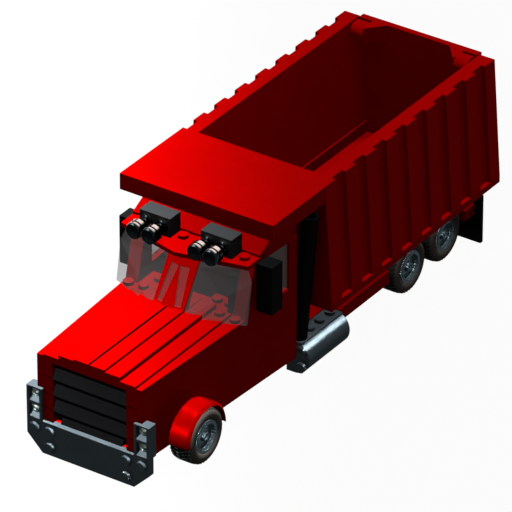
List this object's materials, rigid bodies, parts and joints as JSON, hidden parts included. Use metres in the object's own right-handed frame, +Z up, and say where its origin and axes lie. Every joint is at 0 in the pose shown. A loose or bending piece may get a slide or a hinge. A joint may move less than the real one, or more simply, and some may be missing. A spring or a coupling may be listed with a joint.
{
  "type": "toy dump truck",
  "caption": "Building-brick toy dump truck with a long hood, a ribbed tipping bed, a top-hung tailgate and rolling wheels.",
  "frame": {"origin": "on the floor, under the middle of the truck's overall length and width", "axes": "+Z up, -Y is the way the truck drives (the nose), +X is the truck's left side"},
  "size_m": [0.088, 0.2616, 0.0954],
  "materials": {
    "red_plastic": "smooth moulded",
    "black_plastic": "smooth moulded",
    "dark_grey_plastic": "smooth moulded",
    "clear_plastic": "clear",
    "chromed_plastic": "polished",
    "tyre_rubber": "satin"
  },
  "bodies": {
    "truck": {"bumper": "dark_grey_plastic", "lamp_columns": "dark_grey_plastic", "headlamp_lenses": "clear_plastic", "hood": "red_plastic", "grille_louvres": "black_plastic", "left_hood_side": "red_plastic", "right_hood_side": "red_plastic", "hood_shoulders": "red_plastic", "left_mudguard": "red_plastic", "right_mudguard": "red_plastic", "left_cab_side": "red_plastic", "right_cab_side": "red_plastic", "window_panes": "clear_plastic", "corner_pillars": "red_plastic", "cab_rear_wall": "red_plastic", "cab_floor": "red_plastic", "cowl": "red_plastic", "screen_post": "black_plastic", "left_screen_pane": "clear_plastic", "right_screen_pane": "clear_plastic", "centre_pillar": "red_plastic", "pillar_strips": "clear_plastic", "visor": "red_plastic", "roof": "red_plastic", "roof_lamp_boxes": "dark_grey_plastic", "roof_lamps": "chromed_plastic", "mirrors": "black_plastic", "chassis": "red_plastic", "frame_rails": "red_plastic", "bed_rest": "red_plastic", "bed_hinge_pin": "dark_grey_plastic", "fuel_tanks": "dark_grey_plastic", "exhausts": "black_plastic", "flap_bracket": "red_plastic", "mud_flaps": "black_plastic"},
    "bed": {"left_bed_side": "red_plastic", "right_bed_side": "red_plastic", "bed_front_wall": "red_plastic", "bed_canopy": "red_plastic", "bed_floor": "red_plastic", "bed_hinge_lugs": "red_plastic"},
    "tailgate": {"tailgate": "red_plastic"},
    "front_wheelset": {"front_axle": "dark_grey_plastic", "front_rims": "dark_grey_plastic", "front_tyres": "tyre_rubber"},
    "middle_wheelset": {"middle_axle": "dark_grey_plastic", "middle_rims": "dark_grey_plastic", "middle_tyres": "tyre_rubber"},
    "rear_wheelset": {"rear_axle": "dark_grey_plastic", "rear_rims": "dark_grey_plastic", "rear_tyres": "tyre_rubber"}
  },
  "joints": [
    {"name": "bed_tip", "type": "hinge", "parent": "truck", "child": "bed", "pos_m": [0, 0.1204, 0.0296], "axis": [-1, 0, 0], "range_deg": [0, 50]},
    {"name": "tailgate_swing", "type": "hinge", "parent": "bed", "child": "tailgate", "pos_m": [0, 0.1228, 0.0914], "axis": [1, 0, 0], "range_deg": [0, 75]},
    {"name": "front_wheels_turn", "type": "hinge", "parent": "truck", "child": "front_wheelset", "pos_m": [0, -0.0947, 0.013], "axis": [1, 0, 0], "continuous": true},
    {"name": "middle_wheels_turn", "type": "hinge", "parent": "truck", "child": "middle_wheelset", "pos_m": [0, 0.0724, 0.013], "axis": [1, 0, 0], "continuous": true},
    {"name": "rear_wheels_turn", "type": "hinge", "parent": "truck", "child": "rear_wheelset", "pos_m": [0, 0.1044, 0.013], "axis": [1, 0, 0], "continuous": true}
  ]
}
